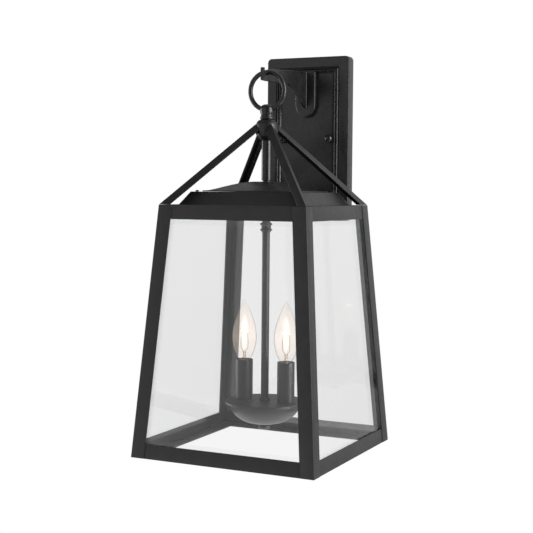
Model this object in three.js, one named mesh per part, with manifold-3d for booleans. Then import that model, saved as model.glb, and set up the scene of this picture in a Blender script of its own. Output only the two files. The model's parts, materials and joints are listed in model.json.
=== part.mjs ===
// Outdoor wall lantern: a tapered four-sided glass lantern that hangs by a ring
// from a cast hook arm on a rectangular wall plate.
// Millimetres, +Z up. The wall is the plane y = 0 and the room side is -Y.
// The origin is the middle of the mounting strap's back face, on the wall.

import * as THREE from 'three';
import { mergeVertices } from 'three/addons/utils/BufferGeometryUtils.js';
import Module from 'manifold-3d';

const wasm = await Module();
wasm.setup();

// ---------------------------------------------------------------- dimensions

const GAP = 0.3;               // clearance between pieces that touch

// wall bracket
const PLATE_WIDTH = 122.5;
const PLATE_HEIGHT = 225;
const PLATE_DEPTH = 18;        // wall to the plate's front face
const PLATE_CORNER = 6;
const PLATE_WALL = 2.6;
const BORDER = 14.5;           // flat border round the moulding
const CHANNEL = 2.6;           // width of each of the moulding's two channels
const BEAD = 2.2;              // width of the bead between them
const GROOVE_DEPTH = 1.6;
const GASKET = 1.5;            // foam thickness
const STUD_SPACING = 70;
const STUD_RADIUS = 2;
const STRAP = { width: 104, height: 20, thickness: 2.2 };

const ARM_THICKNESS = 4;
const BOSS_DEPTH = 8;
const BOSS_HALF_WIDTH = 14.7;
const BOSS_TOP = 93;
const BOSS_BOTTOM = 29.4;

// hanging gear: heights are in the frame, the lantern's axis is x = 0
const AXIS_Y = -145;
const HUB_Z = 6;               // centre of the hub ball
const RING_RADIUS = 24;        // to the middle of the wire
const RING_WIRE = 3;           // wire radius
const RING_Z = HUB_Z + 50.2;

// lantern body
const TOP_Z = HUB_Z - 96;      // top of posts and top rails
const BODY_HEIGHT = 316.5;
const BOTTOM_Z = TOP_Z - BODY_HEIGHT;
const TOP_HALF = 100.7;        // half the width over the posts at TOP_Z
const BOTTOM_HALF = 125;
const POST_FLANGE = 18.5;
const POST_THICKNESS = 2.2;
const RAIL_HEIGHT = 18;
const RAIL_THICKNESS = 2;
const RAIL_SET_BACK = 0.8;     // rail face behind the post face
const TOP_LEDGE = 16;          // post face to the inner edge of the top rail's ledge
const BOTTOM_LEDGE = 21.5;
const GLASS = 2.6;
const TAB_OFFSET = 78;         // glass-holding tabs either side of a rail's middle
const HIP_FLANGE = 10;
const HIP_THICKNESS = 2;
const HIP_APEX_Z = HUB_Z + 20; // where the four hip lines meet on the axis
const BALL_RADIUS = 14.8;      // hub ball that the hip bars run up to

// roof
const SHEET = 1.2;
const SKIRT_HALF = [82.5, 71.5];
const SKIRT_TOP_Z = TOP_Z + 16.5;
const CAP_HALF = 61;
const CAP_TOP_Z = HUB_Z - 65;

// lamp cluster
const ROD_RADIUS = 5;
const PAN_RADIUS = 51.6;
const PAN_Z = HUB_Z - 350;     // top face of the lamp pan
const LAMP_OFFSET = 30;        // lamp axis from the rod, along X
const SLEEVE_RADIUS = 11.2;
const SLEEVE_HEIGHT = 52;
const BULB_RADIUS = 15.8;

// ----------------------------------------------------------------- materials

function finish(color, roughness, metalness, options = {}) {
  return new THREE.MeshStandardMaterial({ color, roughness, metalness, ...options });
}

const blackMetal = finish(0x2b2b2c, 0.55, 0.3);
const zinc = finish(0xa9abac, 0.4, 0.9);
const greenSteel = finish(0x2f7a3a, 0.5, 0.5);
const foam = finish(0x222222, 0.95, 0);
const brass = finish(0xb5945a, 0.35, 0.9);
const phenolic = finish(0x171514, 0.6, 0);
const glass = finish(0xeef2f2, 0.05, 0, { transparent: true, opacity: 0.25 });
const bulbGlass = finish(0xffe7c8, 0.05, 0, { transparent: true, opacity: 0.35 });

// ------------------------------------------------------------ solid geometry

// Keeps positions only and merges shared vertices, so the solid is closed.
function weld(geometry) {
  const bare = geometry.index ? geometry.toNonIndexed() : geometry.clone();
  for (const name of Object.keys(bare.attributes)) {
    if (name !== 'position') bare.deleteAttribute(name);
  }
  return mergeVertices(bare, 1e-4);
}

function toSolid(geometry) {
  const welded = weld(geometry);
  const vertProperties = new Float32Array(welded.attributes.position.array);
  const triVerts = new Uint32Array(welded.index.array);
  return new wasm.Manifold(new wasm.Mesh({ numProp: 3, vertProperties, triVerts }));
}

function toGeometry(solid) {
  const mesh = solid.getMesh();
  const geometry = new THREE.BufferGeometry();
  geometry.setAttribute('position', new THREE.BufferAttribute(mesh.vertProperties, 3));
  geometry.setIndex(new THREE.BufferAttribute(mesh.triVerts, 1));
  return geometry;
}

// Cuts each tool geometry out of the base geometry.
function cut(base, ...tools) {
  return toGeometry(tools.reduce((rest, tool) => rest.subtract(toSolid(tool)), toSolid(base)));
}

function join(...pieces) {
  return toGeometry(pieces.map(toSolid).reduce((sum, piece) => sum.add(piece)));
}

function box(x, y, z, at = [0, 0, 0]) {
  return new THREE.BoxGeometry(x, y, z).translate(...at);
}

// A cylinder along Y, centred at the given point.
function rodAlongY(radius, length, at, segments = 20) {
  return new THREE.CylinderGeometry(radius, radius, length, segments).translate(...at);
}

// A cylinder along Z from z0 up to z1.
function rodAlongZ(radius, z0, z1, x = 0, y = AXIS_Y, segments = 20) {
  return new THREE.CylinderGeometry(radius, radius, z1 - z0, segments).rotateX(Math.PI / 2)
    .translate(x, y, (z0 + z1) / 2);
}

// A hexagonal nut blank along Z.
function hexAlongZ(acrossFlats, z0, z1, x = 0, y = AXIS_Y) {
  return rodAlongZ(acrossFlats / Math.sqrt(3), z0, z1, x, y, 6);
}

// Turns an outline of [radius, z] points about the vertical line through x, y.
function turned(outline, x = 0, y = AXIS_Y, segments = 20) {
  const points = outline.map(([r, z]) => new THREE.Vector2(r, z));
  const geometry = new THREE.LatheGeometry(points, segments).toNonIndexed();
  return outward(geometry.rotateX(Math.PI / 2).translate(x, y, 0));
}

// Joins two outlines of the same number of points into a closed solid. The
// outlines are [x, y, z] lists and `flat` gives their shape for the end caps.
function loft(start, end, flat) {
  const contour = flat.map(([u, v]) => new THREE.Vector2(u, v));
  const caps = THREE.ShapeUtils.triangulateShape(contour, []);
  const capArea = THREE.ShapeUtils.area(caps[0].map((index) => contour[index]));
  const turnOver = capArea * THREE.ShapeUtils.area(contour) < 0;
  const count = start.length;
  const faces = [];
  for (const cap of caps) {
    const [a, b, c] = turnOver ? cap.toReversed() : cap;
    faces.push([a, c, b], [count + a, count + b, count + c]);
  }
  for (let i = 0; i < count; i += 1) {
    const next = (i + 1) % count;
    faces.push([i, next, count + next], [i, count + next, count + i]);
  }
  const vertices = [...start, ...end];
  const geometry = new THREE.BufferGeometry();
  const positions = faces.flat().flatMap((index) => vertices[index]);
  geometry.setAttribute('position', new THREE.Float32BufferAttribute(positions, 3));
  return outward(geometry);
}

// Turns every face over when the solid would be inside out.
function outward(geometry) {
  const p = geometry.attributes.position.array;
  const [a, b, c] = [new THREE.Vector3(), new THREE.Vector3(), new THREE.Vector3()];
  let volume = 0;
  for (let i = 0; i < p.length; i += 9) {
    a.fromArray(p, i);
    b.fromArray(p, i + 3);
    c.fromArray(p, i + 6);
    volume += a.dot(b.cross(c));
  }
  if (volume > 0) return geometry;
  for (let i = 0; i < p.length; i += 9) {
    for (let k = 0; k < 3; k += 1) [p[i + 3 + k], p[i + 6 + k]] = [p[i + 6 + k], p[i + 3 + k]];
  }
  return geometry;
}

// An outline in the y-z plane pushed along x, centred on x = 0.
function plateInYZ(outline, thickness, bevel = 0) {
  const shape = new THREE.Shape(outline.map(([y, z]) => new THREE.Vector2(y, z)));
  return plateFromShape(shape, thickness, bevel);
}

function plateFromShape(shape, thickness, bevel = 0) {
  const geometry = new THREE.ExtrudeGeometry(shape, {
    depth: thickness - 2 * bevel,
    curveSegments: 8,
    bevelEnabled: bevel > 0,
    bevelThickness: bevel,
    bevelSize: bevel,
    bevelOffset: -bevel,
    bevelSegments: 2,
  });
  // shape x -> y, shape y -> z, depth -> x
  const turn = new THREE.Matrix4().makeBasis(
    new THREE.Vector3(0, 1, 0), new THREE.Vector3(0, 0, 1), new THREE.Vector3(1, 0, 0));
  return geometry.translate(0, 0, bevel - thickness / 2).applyMatrix4(turn);
}

// A rounded rectangle in the x-z plane from y0 (front) back to y1.
function roundedSlab(width, height, radius, y0, y1, frontBevel = 0) {
  const [w, h, r] = [width / 2, height / 2, radius];
  const shape = new THREE.Shape();
  shape.moveTo(-w + r, -h);
  shape.lineTo(w - r, -h);
  shape.absarc(w - r, -h + r, r, -Math.PI / 2, 0);
  shape.lineTo(w, h - r);
  shape.absarc(w - r, h - r, r, 0, Math.PI / 2);
  shape.lineTo(-w + r, h);
  shape.absarc(-w + r, h - r, r, Math.PI / 2, Math.PI);
  shape.lineTo(-w, -h + r);
  shape.absarc(-w + r, -h + r, r, Math.PI, 1.5 * Math.PI);
  return slabFromShape(shape, y0, y1, frontBevel);
}

// Pushes a shape drawn in x-z from y0 (front) to y1, with a rounded front edge.
function slabFromShape(shape, y0, y1, frontBevel = 0) {
  const depth = y1 - y0;
  const geometry = new THREE.ExtrudeGeometry(shape, {
    depth: depth - frontBevel,
    curveSegments: 5,
    bevelEnabled: frontBevel > 0,
    bevelThickness: frontBevel,
    bevelSize: frontBevel,
    bevelOffset: -frontBevel,
    bevelSegments: 2,
  });
  // shape y -> z, depth -> -y, so the bevelled far end faces the room
  geometry.rotateX(Math.PI / 2);
  geometry.translate(0, y1, 0);
  if (frontBevel === 0) return geometry;
  // the near end's bevel stands behind y1: it is cut off flat
  const keep = box(1000, depth, 1000, [0, (y0 + y1) / 2, 0]);
  return toGeometry(toSolid(geometry).intersect(toSolid(keep)));
}

// -------------------------------------------------------------------- scene

const lantern = new THREE.Group();

function add(name, geometry, material) {
  const mesh = new THREE.Mesh(geometry, material);
  mesh.name = name;
  lantern.add(mesh);
}

// Copies of one piece, each under its own name.
function addEach(name, endings, geometries, material) {
  geometries.forEach((geometry, i) => add(`${name}_${endings[i]}`, geometry, material));
}

// The four sides and corners are one shape turned about the lantern's axis.
const SIDES = ['front', 'right', 'back', 'left'];
const CORNERS = ['front_right', 'back_right', 'back_left', 'front_left'];

function aboutAxis(geometry, quarterTurns) {
  return geometry.clone().translate(0, -AXIS_Y, 0).rotateZ(quarterTurns * Math.PI / 2)
    .translate(0, AXIS_Y, 0);
}

// Half the width over the posts at height z.
function halfAt(z) {
  return TOP_HALF + (BOTTOM_HALF - TOP_HALF) * (TOP_Z - z) / BODY_HEIGHT;
}

// ------------------------------------------------------------- wall bracket

const PLATE_FRONT = -PLATE_DEPTH;
const STUDS = [-STUD_SPACING / 2, STUD_SPACING / 2];
const ARM_SCREW_HEIGHTS = [48, 78];

function addPlate() {
  const body = roundedSlab(PLATE_WIDTH, PLATE_HEIGHT, PLATE_CORNER, PLATE_FRONT, -GASKET - GAP, 1.3);
  const hollow = roundedSlab(
    PLATE_WIDTH - 2 * PLATE_WALL, PLATE_HEIGHT - 2 * PLATE_WALL, PLATE_CORNER - PLATE_WALL,
    PLATE_FRONT + PLATE_WALL + GROOVE_DEPTH, 5);
  const channel = (inset) => cut(
    roundedSlab(
      PLATE_WIDTH - 2 * inset, PLATE_HEIGHT - 2 * inset, 2.5,
      PLATE_FRONT - 1, PLATE_FRONT + GROOVE_DEPTH),
    roundedSlab(
      PLATE_WIDTH - 2 * (inset + CHANNEL), PLATE_HEIGHT - 2 * (inset + CHANNEL), 1.5,
      PLATE_FRONT - 2, PLATE_FRONT + GROOVE_DEPTH + 1));
  const channels = [channel(BORDER), channel(BORDER + CHANNEL + BEAD)];
  const studHoles = STUDS.map((x) => rodAlongY(STUD_RADIUS + 0.6, 20, [x, PLATE_FRONT, 0], 16));
  const screwHoles = ARM_SCREW_HEIGHTS.map((z) => rodAlongY(2.4, 20, [0, PLATE_FRONT, z], 14));
  add('wall_plate', cut(body, hollow, ...channels, ...studHoles, ...screwHoles), blackMetal);
}

function addGasket() {
  const outer = roundedSlab(PLATE_WIDTH - 1, PLATE_HEIGHT - 1, PLATE_CORNER - 0.5, -GASKET, 0);
  const inner = roundedSlab(PLATE_WIDTH - 12, PLATE_HEIGHT - 12, 2, -GASKET - 1, 1);
  add('wall_gasket', cut(outer, inner), foam);
}

function addStrap() {
  const { width, height, thickness } = STRAP;
  const bar = box(width, thickness, height, [0, -thickness / 2, 0]);
  const studHoles = STUDS.map((x) => rodAlongY(STUD_RADIUS + GAP, 10, [x, 0, 0], 16));
  const slots = [-1, 1].map((side) => box(14, 10, 5, [side * 20.5, 0, 0]));
  const earthHole = rodAlongY(2, 10, [-46, 0, 0], 12);
  add('mounting_strap', cut(bar, ...studHoles, ...slots, earthHole), zinc);
}

function addStudsAndNuts() {
  const studFront = PLATE_FRONT - 5;
  const stud = (x) => rodAlongY(STUD_RADIUS, -studFront, [x, studFront / 2, 0], 12);
  addEach('mounting_stud', ['left', 'right'], STUDS.map(stud), zinc);

  const lockNut = (x) => cut(
    new THREE.CylinderGeometry(4.6, 4.6, 3, 6).translate(x, -STRAP.thickness - GAP - 1.5, 0),
    rodAlongY(STUD_RADIUS + GAP, 20, [x, 0, 0], 12));
  addEach('stud_lock_nut', ['left', 'right'], STUDS.map(lockNut), zinc);

  // ball on a short collar, with a blind hole for the stud
  const nutBack = PLATE_FRONT - GAP;
  const outline = [
    [0, 0], [4, 0], [4, 1.3], [4.8, 2.1], [5.5, 3.8], [5.7, 5.6], [5.2, 7.8], [4, 9.6],
    [2.2, 10.9], [0, 11.3],
  ];
  const ballNut = (x) => cut(
    new THREE.LatheGeometry(outline.map(([r, h]) => new THREE.Vector2(r, h)), 20)
      .rotateX(Math.PI).translate(x, nutBack, 0),
    rodAlongY(STUD_RADIUS + GAP, 12, [x, PLATE_FRONT, 0], 12));
  addEach('ball_nut', ['left', 'right'], STUDS.map(ballNut), blackMetal);
}

function addEarthScrew() {
  const back = -STRAP.thickness - GAP;
  const head = new THREE.CylinderGeometry(4, 4, 2, 6).translate(-46, back - 2, 0);
  const washer = rodAlongY(4.6, 1, [-46, back - 0.5, 0], 16);
  const shank = rodAlongY(1.7, 3, [-46, back + 0.9, 0], 12);
  add('earth_screw', join(head, washer, shank), greenSteel);
}

// The side view of the arm, as [y, z] points, from the boss round to the boss.
function armOutline() {
  const back = PLATE_FRONT - BOSS_DEPTH + 1;
  const sweep = new THREE.CubicBezierCurve(
    new THREE.Vector2(AXIS_Y + 58, HUB_Z + 64.2), new THREE.Vector2(AXIS_Y + 80, HUB_Z + 64.2),
    new THREE.Vector2(AXIS_Y + 92, HUB_Z + 49), new THREE.Vector2(back, HUB_Z + 33.5));
  const seat = RING_WIRE + GAP;
  const seatZ = RING_Z + RING_RADIUS;
  const seatArc = [];
  for (let step = 0; step <= 4; step += 1) {
    const angle = -Math.PI * step / 8;
    seatArc.push([AXIS_Y + seat * Math.cos(angle), seatZ + seat * Math.sin(angle)]);
  }
  return [
    [back, HUB_Z + 86.3],
    [AXIS_Y + 13, HUB_Z + 79.2],
    [AXIS_Y + 5.5, HUB_Z + 79],
    [AXIS_Y + seat, HUB_Z + 77.4],
    ...seatArc,
    [AXIS_Y - 10, seatZ - seat],
    [AXIS_Y - 11.4, seatZ - seat + 1.4],
    [AXIS_Y - 11.4, HUB_Z + 78.4],
    [AXIS_Y - 12.2, HUB_Z + 79.2],
    [AXIS_Y - 15.2, HUB_Z + 79.2],
    [AXIS_Y - 16, HUB_Z + 78.2],
    [AXIS_Y - 16, HUB_Z + 64],
    [AXIS_Y - 14.4, HUB_Z + 62.4],
    [AXIS_Y + 30, HUB_Z + 62.8],
    ...sweep.getPoints(8).map((point) => [point.x, point.y]),
  ];
}

function addArm() {
  const arm = plateInYZ(armOutline(), ARM_THICKNESS, 1.1);
  const w = BOSS_HALF_WIDTH;
  const shape = new THREE.Shape();
  shape.moveTo(w, BOSS_BOTTOM + 19);
  shape.lineTo(w, BOSS_TOP - 3);
  shape.absarc(w - 3, BOSS_TOP - 3, 3, 0, Math.PI / 2);
  shape.lineTo(-w + 3, BOSS_TOP);
  shape.absarc(-w + 3, BOSS_TOP - 3, 3, Math.PI / 2, Math.PI);
  shape.lineTo(-w, BOSS_BOTTOM + 19);
  shape.absellipse(0, BOSS_BOTTOM + 19, w, 19, Math.PI, 2 * Math.PI);
  const boss = slabFromShape(shape, PLATE_FRONT - BOSS_DEPTH, PLATE_FRONT - GAP, 2);
  const holes = ARM_SCREW_HEIGHTS.map((z) => rodAlongY(1.9, 8, [0, PLATE_FRONT, z], 12));
  add('hook_arm', cut(join(arm, boss), ...holes), blackMetal);

  const inside = PLATE_FRONT + PLATE_WALL + GROOVE_DEPTH;
  const screw = (z) => join(
    rodAlongY(1.5, 7, [0, inside - 2.5, z], 12),
    rodAlongY(3.6, 2.4, [0, inside + GAP + 1.2, z], 16));
  addEach('arm_screw', ['lower', 'upper'], ARM_SCREW_HEIGHTS.map(screw), zinc);
}

// ------------------------------------------------------------- hanging gear

function addRing() {
  const ring = new THREE.TorusGeometry(RING_RADIUS, RING_WIRE, 10, 36).rotateX(Math.PI / 2);
  add('hanging_ring', ring.translate(0, AXIS_Y, RING_Z), blackMetal);
}

function addHub() {
  // loop knob, with the ring's eye cut through it along the ring's own curve
  const knob = turned([
    [0, 19.4], [7.3, 19.4], [7.6, 20.6], [8.7, 22.6], [9.2, 25], [9.2, 27], [8.6, 29], [7, 31.2],
    [4.2, 32.7], [0, 33.3],
  ].map(([r, z]) => [r, HUB_Z + z]));
  const eye = new THREE.TorusGeometry(RING_RADIUS, RING_WIRE + 0.5, 10, 36).rotateX(Math.PI / 2);
  add('loop_knob', cut(knob, eye.translate(0, AXIS_Y, RING_Z)), blackMetal);

  // ball with a flat top, a groove and a bead; the four hip bars meet its sides
  const ball = turned([
    [0, -13.2], [7, -13], [9.8, -11.6], [12.3, -9], [14.1, -5.2], [BALL_RADIUS, -0.6],
    [14.6, 4.2], [13.8, 8], [12.2, 11], [10.2, 12.7], [7.9, 13.2], [7.9, 13.7], [8.9, 14.6],
    [8.9, 16.4], [7.9, 17.6], [7.3, 19.1], [0, 19.1],
  ].map(([r, z]) => [r, HUB_Z + z]));
  const rodHole = rodAlongZ(ROD_RADIUS + GAP, HUB_Z - 20, HUB_Z + 4);
  add('hub_ball', cut(ball, rodHole), blackMetal);

  const tube = rodAlongZ(6.5, CAP_TOP_Z + GAP, HUB_Z - 13.2 - GAP);
  const bore = rodAlongZ(ROD_RADIUS + GAP, CAP_TOP_Z - 10, HUB_Z);
  add('stem_tube', cut(tube, bore), blackMetal);
}

// An angle bar whose outer edge is the straight hip line, its two flanges
// turned down on either side of it.
function hipBar() {
  const foot = new THREE.Vector3(TOP_HALF, -TOP_HALF, TOP_Z);
  const apex = new THREE.Vector3(0, 0, HIP_APEX_Z);
  const along = apex.clone().sub(foot).normalize();
  const sideways = new THREE.Vector3(1, 1, 0).normalize();
  const upward = new THREE.Vector3().crossVectors(sideways, along);
  if (upward.z < 0) upward.negate();
  const corner = (right, down) => sideways.clone().multiplyScalar(right)
    .addScaledVector(upward, -down);
  const d = HIP_FLANGE / Math.SQRT2;
  const t = HIP_THICKNESS / Math.SQRT2;
  const section = [[0, 0], [d, d], [d - t, d + t], [0, 2 * t], [t - d, d + t], [-d, d]];
  const place = (distance) => section.map(([right, down]) => {
    const point = foot.clone().addScaledVector(along, distance).add(corner(right, down));
    return [point.x, point.y + AXIS_Y, point.z];
  });
  const length = foot.distanceTo(apex);
  const bar = loft(place(-20), place(length - 6), section);
  const abovePost = box(400, 400, 400, [0, AXIS_Y, TOP_Z + GAP + 200]);
  const insidePost = box(400, 400, 400, [TOP_HALF - 200, AXIS_Y - TOP_HALF + 200, 0]);
  const ballSpace = rodAlongZ(BALL_RADIUS + GAP, HUB_Z - 40, HUB_Z + 60, 0, AXIS_Y, 32);
  const kept = toSolid(bar).intersect(toSolid(abovePost)).intersect(toSolid(insidePost));
  return toGeometry(kept.subtract(toSolid(ballSpace)));
}

// --------------------------------------------------------------- lantern body

function cornerPost() {
  const [f, t] = [POST_FLANGE, POST_THICKNESS];
  const section = [[0, 0], [-f, 0], [-f, t], [-t, t], [-t, f], [0, f]];
  const place = (z) => section.map(([x, y]) => [halfAt(z) + x, AXIS_Y - halfAt(z) + y, z]);
  return loft(place(BOTTOM_Z), place(TOP_Z), section);
}

// An angle rail along the front side. The section is [inward, z] from the post
// face; each corner ends beside the posts' flanges.
function rail(section) {
  const place = (side) => section.map(([inward, z]) => {
    const reach = halfAt(z) - POST_FLANGE - 0.4;
    return [side * reach, AXIS_Y - halfAt(z) + inward, z];
  });
  return loft(place(-1), place(1), section);
}

// The rail's level ledge at height z, mitred into the corners inside the posts.
function ledge(z, half, inner) {
  const outer = POST_THICKNESS + 0.4;
  const level = (height) => [[-1, outer], [1, outer], [1, inner], [-1, inner]].map(
    ([side, inward]) => [side * (half - inward - 0.25), AXIS_Y - half + inward, height]);
  const flat = level(0).map(([x, y]) => [x, y]);
  return loft(level(z), level(z + RAIL_THICKNESS), flat);
}

function topRail() {
  const [s, t] = [RAIL_SET_BACK, RAIL_THICKNESS];
  const angle = rail([
    [s, TOP_Z - RAIL_HEIGHT], [s, TOP_Z], [POST_THICKNESS + 2, TOP_Z], [POST_THICKNESS + 2, TOP_Z - t],
    [s + t, TOP_Z - t], [s + t, TOP_Z - RAIL_HEIGHT],
  ]);
  return join(angle, ledge(TOP_Z - t, TOP_HALF, TOP_LEDGE));
}

function bottomRail() {
  const [s, t] = [RAIL_SET_BACK, RAIL_THICKNESS];
  const angle = rail([
    [s, BOTTOM_Z], [s, BOTTOM_Z + RAIL_HEIGHT], [s + t, BOTTOM_Z + RAIL_HEIGHT],
    [s + t, BOTTOM_Z + t], [POST_THICKNESS + 2, BOTTOM_Z + t], [POST_THICKNESS + 2, BOTTOM_Z],
  ]);
  // two low tabs folded up behind the glass
  const behindGlass = AXIS_Y - BOTTOM_HALF + s + t + 0.5 + GLASS + 0.8;
  const tabs = [-1, 1].map((side) => box(
    12, 1.2, 6, [side * TAB_OFFSET, behindGlass + 0.6, BOTTOM_Z + 4]));
  return join(angle, ledge(BOTTOM_Z, BOTTOM_HALF - 0.15, BOTTOM_LEDGE), ...tabs);
}

// A glass pane behind the posts and rails. Front and back panes run to the
// posts, and the side panes stand between them.
function pane(sideGap) {
  const face = RAIL_SET_BACK + RAIL_THICKNESS + 0.5;
  const top = TOP_Z - RAIL_THICKNESS - SHEET - 1.4;
  const bottom = BOTTOM_Z + RAIL_THICKNESS + 0.5;
  const edge = (z, inward) => [halfAt(z) - sideGap, AXIS_Y - halfAt(z) + inward, z];
  const mirror = ([x, y, z]) => [-x, y, z];
  const outline = (inward) => {
    const [low, high] = [edge(bottom, inward), edge(top, inward)];
    return [mirror(low), low, high, mirror(high)];
  };
  const flat = outline(0).map(([x, , z]) => [x, z]);
  return loft(outline(face), outline(face + GLASS), flat);
}

function addBody() {
  const place = (name, places, geometry) => {
    places.forEach((where, turn) => add(`${name}_${where}`, aboutAxis(geometry, turn), blackMetal));
  };
  place('corner_post', CORNERS, cornerPost());
  place('top_rail', SIDES, topRail());
  place('bottom_rail', SIDES, bottomRail());
  place('hip_bar', CORNERS, hipBar());
  const widePane = pane(POST_THICKNESS + 0.5);
  const narrowPane = pane(RAIL_SET_BACK + RAIL_THICKNESS + GLASS + 1);
  SIDES.forEach((side, turn) => {
    add(`glass_${side}`, aboutAxis(turn % 2 ? narrowPane : widePane, turn), glass);
  });
}

// ------------------------------------------------------------------------ roof

// A square ring of points at height z.
function square(half, z) {
  return [[-1, -1], [1, -1], [1, 1], [-1, 1]].map(([x, y]) => [x * half, AXIS_Y + y * half, z]);
}

// A square frustum, or a stack of them, from [half width, z] levels.
function pyramid(levels) {
  const flat = [[-1, -1], [1, -1], [1, 1], [-1, 1]];
  const blocks = [];
  for (let i = 0; i + 1 < levels.length; i += 1) {
    blocks.push(loft(square(...levels[i]), square(...levels[i + 1]), flat));
  }
  return blocks.length === 1 ? blocks[0] : join(...blocks);
}

const LEDGE_SCREW = 65.4;

function addRoof() {
  const [low, high] = SKIRT_HALF;
  const underRail = TOP_Z - RAIL_THICKNESS - GAP;
  const slope = (low - high) / (SKIRT_TOP_Z - TOP_Z);
  const bottom = underRail - SHEET;
  const skirt = pyramid([[low + slope * (TOP_Z - bottom), bottom], [high, SKIRT_TOP_Z]]);
  const flange = pyramid([[93, bottom], [93, underRail]]);
  const skirtInside = pyramid([
    [low + slope * (TOP_Z - bottom + 5) - 1.6, bottom - 5],
    [high - 1.6 + slope * SHEET, SKIRT_TOP_Z - SHEET],
  ]);
  const capSeat = pyramid([[54, SKIRT_TOP_Z - 5], [54, SKIRT_TOP_Z + 5]]);
  const corners = [[1, -1], [1, 1], [-1, 1], [-1, -1]];
  const screwHole = ([x, y]) => rodAlongZ(
    1.5, SKIRT_TOP_Z - 5, SKIRT_TOP_Z + 5, x * LEDGE_SCREW, AXIS_Y + y * LEDGE_SCREW, 10);
  add('roof_skirt', cut(join(skirt, flange), skirtInside, capSeat, ...corners.map(screwHole)),
    blackMetal);

  // shallow domed pyramid on a thin hem, hollow below
  const base = SKIRT_TOP_Z + GAP;
  const hem = [CAP_HALF, base];
  const rise = [[59.5, base + 1.3], [49.5, 4.1], [40, 7.4], [30.5, 10.4], [20, 12.9], [11, 14]];
  const outer = [hem, [CAP_HALF, base + 1.3], ...rise.map(([half, lift], i) => (
    [half, i === 0 ? base + 1.3 : base - 0.8 + lift]))];
  const inner = [[57, base - 4], [57.6, base + 0.6], [48.5, base + 2], [39, base + 5.2],
    [29.5, base + 8.2], [19, base + 10.6], [9, base + 11.6]];
  const rodHole = rodAlongZ(ROD_RADIUS + GAP, base - 10, base + 40);
  add('roof_cap', cut(stack(outer), stack(inner), rodHole), blackMetal);

  const screw = ([x, y]) => {
    const [sx, sy] = [x * LEDGE_SCREW, AXIS_Y + y * LEDGE_SCREW];
    const head = turned([[0, 0], [2.6, 0], [2.4, 0.9], [1.4, 1.6], [0, 1.8]], 0, 0, 14)
      .translate(sx, sy, SKIRT_TOP_Z + GAP);
    return join(head, rodAlongZ(1.1, SKIRT_TOP_Z - 4, SKIRT_TOP_Z + 1, sx, sy, 10));
  };
  addEach('roof_screw', CORNERS, corners.map(screw), blackMetal);
}

// Stacked square levels as one closed skin, from the bottom level to the top.
function stack(levels) {
  const faces = [];
  const rings = levels.map(([half, z]) => square(half, z));
  const quad = (a, b, c, d) => faces.push(a, b, c, a, c, d);
  for (let i = 0; i + 1 < rings.length; i += 1) {
    for (let k = 0; k < 4; k += 1) {
      const n = (k + 1) % 4;
      quad(rings[i][k], rings[i][n], rings[i + 1][n], rings[i + 1][k]);
    }
  }
  const first = rings[0];
  const last = rings[rings.length - 1];
  quad(first[3], first[2], first[1], first[0]);
  quad(last[0], last[1], last[2], last[3]);
  const geometry = new THREE.BufferGeometry();
  geometry.setAttribute('position', new THREE.Float32BufferAttribute(faces.flat(), 3));
  return outward(geometry);
}

// ---------------------------------------------------------------- lamp cluster

function addRod() {
  const rodBottom = PAN_Z - 36;
  add('center_rod', rodAlongZ(ROD_RADIUS, rodBottom, HUB_Z + 3, 0, AXIS_Y, 18), blackMetal);

  // two collars on a neck, round the rod below the roof
  const bore = ROD_RADIUS + GAP;
  const z = HUB_Z - 131;
  add('rod_coupling', turned([
    [bore, z], [7.2, z], [7.9, z + 1], [7.9, z + 4], [7, z + 5], [6.4, z + 5.6], [6.4, z + 7],
    [7, z + 7.6], [7.9, z + 8.6], [7.9, z + 11.6], [7.2, z + 12.6], [bore, z + 12.6], [bore, z],
  ]), blackMetal);

  const hole = (z0, z1) => rodAlongZ(bore, z0, z1);
  const nutTop = SKIRT_TOP_Z + 11;
  add('roof_lock_nut', cut(hexAlongZ(16, nutTop - 6, nutTop), hole(nutTop - 20, nutTop + 9)), zinc);
  const foot = PAN_Z + GAP;
  add('rod_foot_nut', turned([
    [bore, foot], [7, foot], [7.2, foot + 0.8], [7.2, foot + 3], [6.6, foot + 3.9], [bore, foot + 3.9],
    [bore, foot],
  ]), blackMetal);
}

function addPan() {
  const r = PAN_RADIUS;
  const bore = ROD_RADIUS + GAP;
  // disc with a turned-down rim
  const disc = turned([
    [bore, PAN_Z - 1.4], [r - 1.6, PAN_Z - 1.4], [r - 1.6, PAN_Z - 4], [r, PAN_Z - 4],
    [r, PAN_Z - 0.8], [r - 0.8, PAN_Z], [bore, PAN_Z], [bore, PAN_Z - 1.4],
  ], 0, AXIS_Y, 32);
  const nipples = [-1, 1].map((side) => rodAlongZ(
    4.4, PAN_Z - 9, PAN_Z + 9, side * LAMP_OFFSET, AXIS_Y, 14));
  add('pan_top', cut(disc, ...nipples), blackMetal);

  const outer = [
    [48.4, PAN_Z - 1.8], [47.6, PAN_Z - 7], [43.6, PAN_Z - 14], [36.4, PAN_Z - 20.6],
    [26.5, PAN_Z - 26], [13, PAN_Z - 29.5], [bore, PAN_Z - 30.2],
  ];
  const inner = outer.map(([radius, z], i) => (
    i === outer.length - 1 ? [radius, z + 1.3] : [radius - 1.2, Math.min(z + 0.9, PAN_Z - 1.8)]));
  const profile = [...outer, ...inner.reverse(), outer[0]];
  add('pan_bowl', turned(profile, 0, AXIS_Y, 32), blackMetal);

  const z = PAN_Z - 30.6;
  const finial = turned([
    [0, z - 7], [4, z - 6.8], [7, z - 5.6], [8.2, z - 3.6], [8, z - 1.6], [6.6, z], [0, z],
  ]);
  add('finial_nut', cut(finial, rodAlongZ(bore, z - 5.7, z + 9)), blackMetal);
}

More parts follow.
